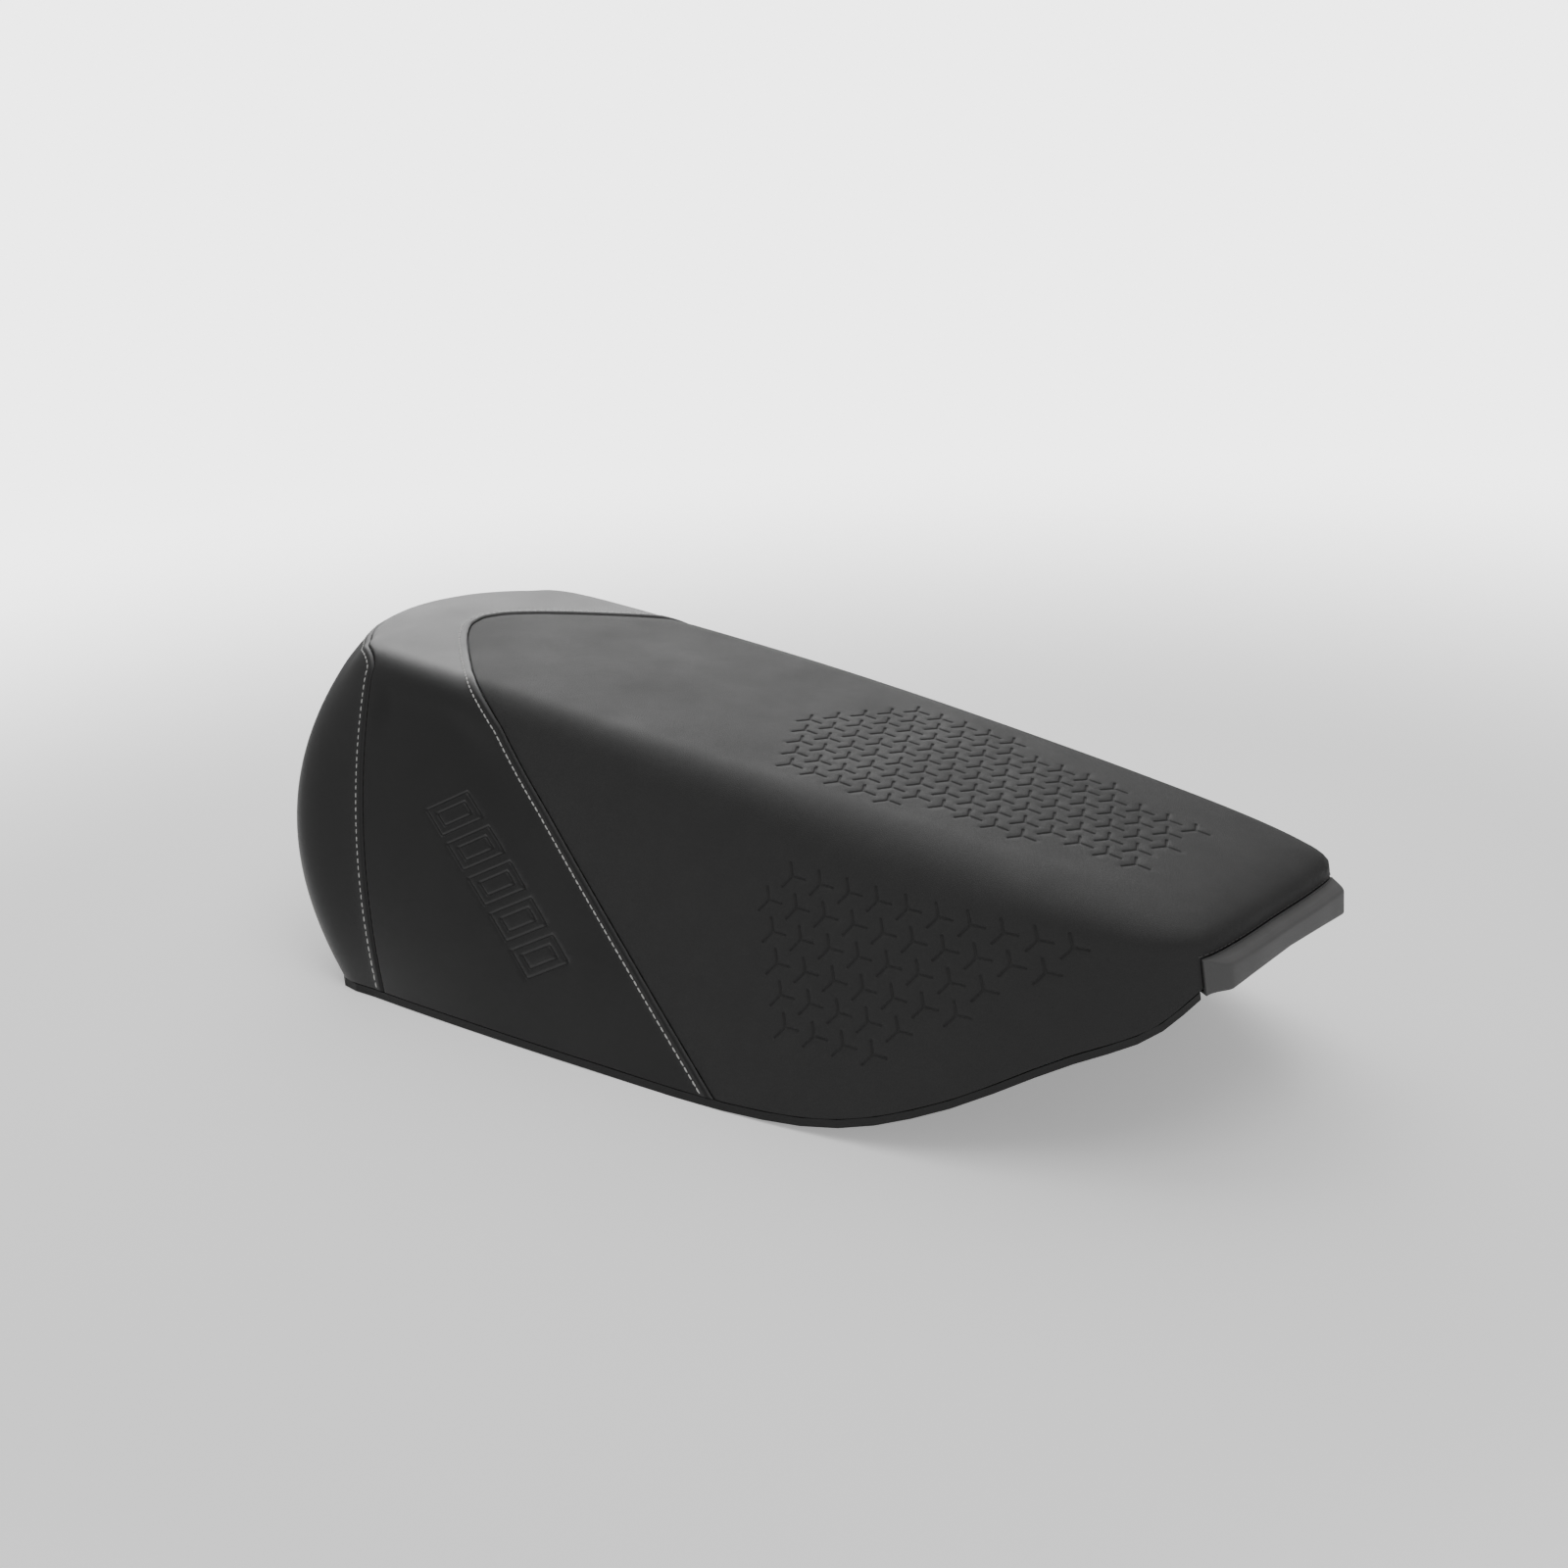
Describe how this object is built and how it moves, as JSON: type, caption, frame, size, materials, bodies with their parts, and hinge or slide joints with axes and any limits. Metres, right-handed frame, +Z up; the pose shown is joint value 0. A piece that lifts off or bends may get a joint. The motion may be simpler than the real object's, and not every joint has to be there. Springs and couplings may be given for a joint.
{
  "type": "motorcycle seat",
  "caption": "Rider seat with stitched vinyl cover panels over shaped foam on a moulded base pan, with a front tongue, rear latch striker, rubber buffers and threaded inserts.",
  "frame": {"origin": "on the floor plane under the middle of the seat, where the bottom edge stands", "axes": "+X to the front of the motorcycle, along the seat; +Y to the rider's left; +Z up"},
  "size_m": [0.5907, 0.3018, 0.1711],
  "materials": {
    "grip_vinyl": "matte grained grip vinyl",
    "smooth_vinyl": "satin smooth vinyl",
    "rear_vinyl": "satin smooth vinyl",
    "lip_vinyl": "semi-gloss vinyl",
    "thread": "light grey bonded thread",
    "liner_film": "thin waterproof film",
    "gel_pad": "soft gel",
    "seat_foam": "open-cell moulded foam",
    "pan_plastic": "fine-textured moulded plastic",
    "trim_rubber": "satin extruded trim",
    "staple_steel": "bright wire",
    "plate_steel": "black coated steel",
    "screw_zinc": "zinc plated",
    "striker_steel": "hard chrome pin",
    "buffer_rubber": "moulded rubber",
    "insert_brass": "turned brass",
    "plug_plastic": "moulded nylon"
  },
  "bodies": {
    "root": {"grip_cover": "grip_vinyl", "shoulder_cover": "smooth_vinyl", "rear_cover": "rear_vinyl", "front_lip": "lip_vinyl", "grip_seam_thread": "thread", "rear_seam_thread": "thread", "lip_seam_thread": "thread", "rain_liner": "liner_film", "comfort_pad": "gel_pad", "foam_core": "seat_foam", "base_pan": "pan_plastic", "edge_trim": "trim_rubber", "cover_hem": "smooth_vinyl", "hem_staples": "staple_steel", "stiffener_plate": "plate_steel", "stiffener_screws": "screw_zinc", "latch_bracket": "plate_steel", "latch_screws": "screw_zinc", "latch_striker": "striker_steel", "striker_clips": "screw_zinc", "rubber_buffers": "buffer_rubber", "threaded_inserts": "insert_brass", "front_tongue": "plate_steel", "tongue_screws": "screw_zinc", "vent_plugs": "plug_plastic", "strap_hooks": "plug_plastic", "document_strap": "buffer_rubber"}
  },
  "joints": []
}
